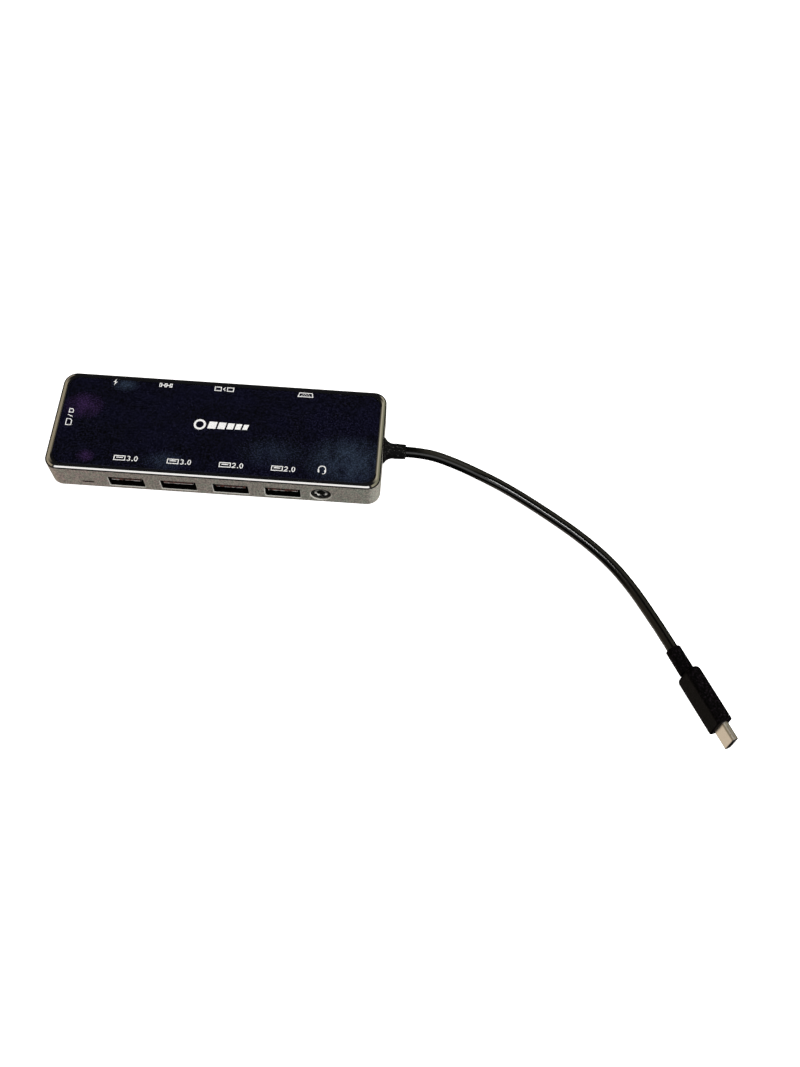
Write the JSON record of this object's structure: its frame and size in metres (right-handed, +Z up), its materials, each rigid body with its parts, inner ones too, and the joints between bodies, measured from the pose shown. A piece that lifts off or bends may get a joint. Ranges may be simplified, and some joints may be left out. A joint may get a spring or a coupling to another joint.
{
  "type": "laptop docking station",
  "caption": "Flat multiport laptop dock: a metal body with a glossy top, ports on three walls and a short cable ending in a USB-C plug.",
  "frame": {"origin": "on the table, under the middle of the body, cable and plug left out", "axes": "+X along the body towards the cable, -Y out of the wall with the USB-A ports, +Z up"},
  "size_m": [0.2505, 0.1294, 0.0131],
  "materials": {
    "housing_metal": "fine bead-blasted, anodised warm grey",
    "polished_ring": "mirror polished",
    "panel_gloss": "high gloss black with a navy tint and white printed port symbols",
    "adhesive": "double-sided tape",
    "screw_steel": "zinc plated",
    "foot_rubber": "matte",
    "light_pipe": "dark translucent",
    "circuit_board": "solder mask",
    "status_lamp": "clear resin",
    "chip_black": "moulded",
    "small_parts": "sintered",
    "crystal_can": "satin",
    "socket_steel": "nickel plated sheet",
    "socket_plastic": "moulded black",
    "contact_gold": "gold flashed",
    "jack_nickel": "nickel plated",
    "sleeve_rubber": "fine matte texture",
    "cable_jacket": "glossy flexible PVC",
    "wire_insulation": "thin insulation",
    "plug_plastic": "satin moulded black",
    "plug_steel": "satin nickel",
    "plug_insulator": "moulded black"
  },
  "bodies": {
    "root": {"housing_shell": "housing_metal", "bottom_cover": "housing_metal", "top_bezel": "polished_ring", "top_panel": "panel_gloss", "panel_adhesive": "adhesive", "cover_screws": "screw_steel", "rubber_feet": "foot_rubber", "led_window": "light_pipe", "main_board": "circuit_board", "status_led": "status_lamp", "hub_chip": "chip_black", "network_chip": "chip_black", "display_chip": "chip_black", "card_reader_chip": "chip_black", "power_chip": "chip_black", "audio_chip": "chip_black", "lan_transformer": "chip_black", "inductors": "small_parts", "capacitors": "small_parts", "crystals": "crystal_can", "usb_a_shell_1": "socket_steel", "usb_a_shell_2": "socket_steel", "usb_a_shell_3": "socket_steel", "usb_a_shell_4": "socket_steel", "usb_c_shell": "socket_steel", "hdmi_shell": "socket_steel", "lan_jack_shield": "socket_steel", "vga_shell": "socket_steel", "sd_socket_cover": "socket_steel", "tf_socket_cover": "socket_steel", "usb_a_tongue_1": "socket_plastic", "usb_a_tongue_2": "socket_plastic", "usb_a_tongue_3": "socket_plastic", "usb_a_tongue_4": "socket_plastic", "usb_c_tongue": "socket_plastic", "hdmi_tongue": "socket_plastic", "lan_jack_housing": "socket_plastic", "vga_insulator": "socket_plastic", "sd_socket_tray": "socket_plastic", "tf_socket_tray": "socket_plastic", "audio_jack_body": "socket_plastic", "usb_a_contacts_1": "contact_gold", "usb_a_contacts_2": "contact_gold", "usb_a_contacts_3": "contact_gold", "usb_a_contacts_4": "contact_gold", "usb_c_contacts": "contact_gold", "hdmi_contacts": "contact_gold", "lan_jack_contacts": "contact_gold", "vga_contacts": "contact_gold", "card_socket_contacts": "contact_gold", "audio_jack_contacts": "contact_gold", "plug_contacts": "contact_gold", "audio_jack_ring": "jack_nickel", "cable_strain_relief": "sleeve_rubber", "cable": "cable_jacket", "cable_wires": "wire_insulation", "plug_collar": "plug_plastic", "plug_overmould": "plug_plastic", "plug_shell": "plug_steel", "plug_core": "plug_insulator"}
  },
  "joints": []
}
